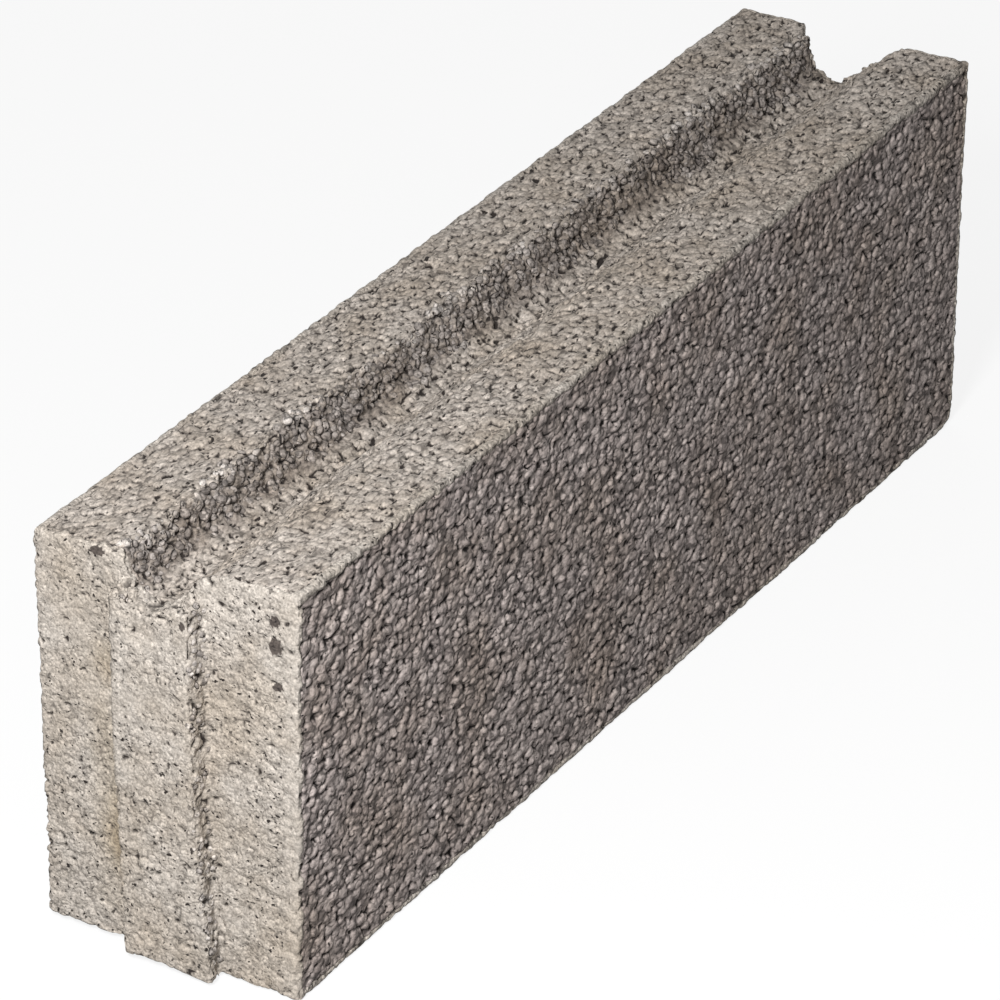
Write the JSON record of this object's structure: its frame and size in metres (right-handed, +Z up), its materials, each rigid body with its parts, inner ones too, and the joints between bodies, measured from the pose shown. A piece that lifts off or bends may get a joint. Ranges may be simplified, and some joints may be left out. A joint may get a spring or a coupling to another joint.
{
  "type": "lightweight aggregate concrete block",
  "caption": "Upright lightweight concrete masonry block with an end tongue, a matching groove in the other end and a mortar groove pressed along the top.",
  "frame": {"origin": "middle of the bottom bed face, between the two end shoulders and between the two long faces", "axes": "+X along the block's length towards the end with the groove, +Y across its thickness towards the steep wall of the mortar groove, +Z up, towards the mortar groove"},
  "size_m": [0.6, 0.12, 0.19],
  "materials": {
    "aggregate_concrete": "open-textured lightweight aggregate concrete, dry and matt"
  },
  "bodies": {
    "root": {"block": "aggregate_concrete"}
  },
  "joints": []
}
